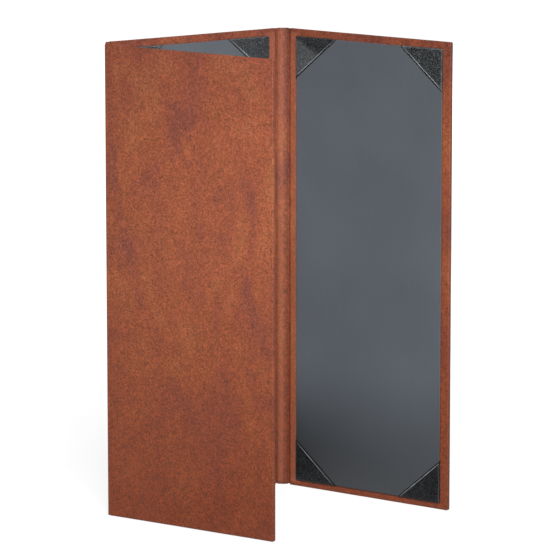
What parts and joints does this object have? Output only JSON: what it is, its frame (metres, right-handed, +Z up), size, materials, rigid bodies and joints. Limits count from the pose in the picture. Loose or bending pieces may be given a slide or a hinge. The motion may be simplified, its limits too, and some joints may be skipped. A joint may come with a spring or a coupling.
{
  "type": "menu cover",
  "caption": "Tall tri-fold menu cover in tan bonded leather with slate satin linings and black picture corners, standing half open on its bottom edges.",
  "frame": {"origin": "middle of the bottom edge of the middle panel, halfway through its thickness, on the surface that it stands on", "axes": "+Z up the cover, +X across the middle panel from the flap's hinge to the right panel's hinge, +Y out of the back of the middle panel, so its lining faces -Y"},
  "size_m": [0.1827, 0.1271, 0.2921],
  "materials": {
    "cover_leather": "semi-matte tan bonded leather with fine grain and mottling",
    "lining_cloth": "smooth slate-grey satin book cloth",
    "corner_leatherette": "black pebble-grain leatherette",
    "greyboard": "uncoated pressed greyboard",
    "card": "uncoated card"
  },
  "bodies": {
    "middle_panel": {"middle_board": "greyboard", "middle_corner_bottom_left": "corner_leatherette", "middle_corner_bottom_right": "corner_leatherette", "middle_corner_top_left": "corner_leatherette", "middle_corner_top_right": "corner_leatherette", "middle_filler": "card", "middle_hinge_lining_left": "cover_leather", "middle_hinge_lining_right": "cover_leather", "middle_leather": "cover_leather", "middle_lining_card": "card", "middle_lining_cloth": "lining_cloth"},
    "left_spine": {"left_inner_crease_flap": "cover_leather", "left_inner_crease_middle": "cover_leather", "left_outer_crease_flap": "cover_leather", "left_outer_crease_middle": "cover_leather", "left_spine_board": "greyboard", "left_spine_leather": "cover_leather", "left_spine_lining": "cover_leather"},
    "front_flap": {"flap_board": "greyboard", "flap_corner_bottom_left": "corner_leatherette", "flap_corner_bottom_right": "corner_leatherette", "flap_corner_top_left": "corner_leatherette", "flap_corner_top_right": "corner_leatherette", "flap_filler": "card", "flap_hinge_lining": "cover_leather", "flap_leather": "cover_leather", "flap_lining_card": "card", "flap_lining_cloth": "lining_cloth"},
    "right_spine": {"right_inner_crease_middle": "cover_leather", "right_inner_crease_panel": "cover_leather", "right_outer_crease_middle": "cover_leather", "right_outer_crease_panel": "cover_leather", "right_spine_board": "greyboard", "right_spine_leather": "cover_leather", "right_spine_lining": "cover_leather"},
    "right_panel": {"right_panel_board": "greyboard", "right_panel_corner_bottom_left": "corner_leatherette", "right_panel_corner_bottom_right": "corner_leatherette", "right_panel_corner_top_left": "corner_leatherette", "right_panel_corner_top_right": "corner_leatherette", "right_panel_filler": "card", "right_panel_hinge_lining": "cover_leather", "right_panel_leather": "cover_leather", "right_panel_lining_card": "card", "right_panel_lining_cloth": "lining_cloth"}
  },
  "joints": [
    {"name": "middle_to_left_spine", "type": "hinge", "parent": "middle_panel", "child": "left_spine", "pos_m": [-0.06237, 0.00118, 0], "axis": [0, 0, 1], "range_deg": [-56, 34], "deforming": ["left_inner_crease_middle", "left_outer_crease_middle"]},
    {"name": "left_spine_to_flap", "type": "hinge", "parent": "left_spine", "child": "front_flap", "pos_m": [-0.07132, -0.01209, 0], "axis": [0, 0, 1], "range_deg": [-56, 34], "deforming": ["left_inner_crease_flap", "left_outer_crease_flap"]},
    {"name": "middle_to_right_spine", "type": "hinge", "parent": "middle_panel", "child": "right_spine", "pos_m": [0.06237, 0.00118, 0], "axis": [0, 0, -1], "range_deg": [-35, 55], "deforming": ["right_inner_crease_middle", "right_outer_crease_middle"]},
    {"name": "right_spine_to_panel", "type": "hinge", "parent": "right_spine", "child": "right_panel", "pos_m": [0.06913, -0.00356, 0], "axis": [0, 0, -1], "range_deg": [-35, 55], "deforming": ["right_inner_crease_panel", "right_outer_crease_panel"]}
  ],
  "couplings": [
    {"joint": "left_spine_to_flap", "follows": "middle_to_left_spine", "ratio": 1},
    {"joint": "right_spine_to_panel", "follows": "middle_to_right_spine", "ratio": 1}
  ]
}
